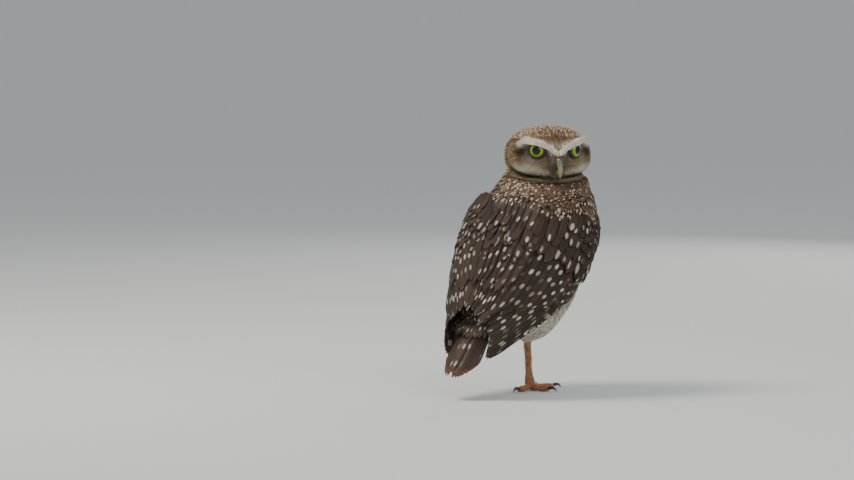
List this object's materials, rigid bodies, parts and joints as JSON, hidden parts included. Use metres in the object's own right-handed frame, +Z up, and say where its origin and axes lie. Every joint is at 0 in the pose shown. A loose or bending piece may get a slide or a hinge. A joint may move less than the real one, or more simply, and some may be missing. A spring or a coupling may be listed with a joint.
{
  "type": "burrowing owl",
  "caption": "Life-size still model of a small long-legged owl, standing on one leg with the other drawn up, looking back over its right shoulder.",
  "frame": {"origin": "on the floor, under the middle of the standing foot", "axes": "+Z up; the body faces -Y; +X is the owl's left"},
  "size_m": [0.12, 0.1636, 0.2286],
  "materials": {
    "head_plumage": "matt feathers, brown with buff and white marks",
    "neck_plumage": "matt feathers, brown with pale spots",
    "body_plumage": "matt feathers, buff with brown bars",
    "wing_plumage": "matt feathers, dark brown with white spots",
    "tail_plumage": "matt feathers, dark brown with pale bars",
    "thigh_plumage": "short soft buff feathers",
    "leg_skin": "scaly orange-brown skin",
    "bill_horn": "grey-green horn with a yellow tip",
    "claw_horn": "dark horn",
    "eye": "wet eye with a yellow-green iris and a black pupil"
  },
  "bodies": {
    "root": {"head": "head_plumage", "bill_upper": "bill_horn", "bill_lower": "bill_horn", "eye_left": "eye", "eye_right": "eye", "neck": "neck_plumage", "torso": "body_plumage", "wing_left": "wing_plumage", "wing_right": "wing_plumage", "tail": "tail_plumage", "thigh_right": "thigh_plumage", "tarsus_right": "leg_skin", "foot_right": "leg_skin", "claw_right_1": "claw_horn", "claw_right_2": "claw_horn", "claw_right_3": "claw_horn", "claw_right_4": "claw_horn", "foot_left": "leg_skin", "claw_left_1": "claw_horn", "claw_left_2": "claw_horn", "claw_left_3": "claw_horn"}
  },
  "joints": []
}
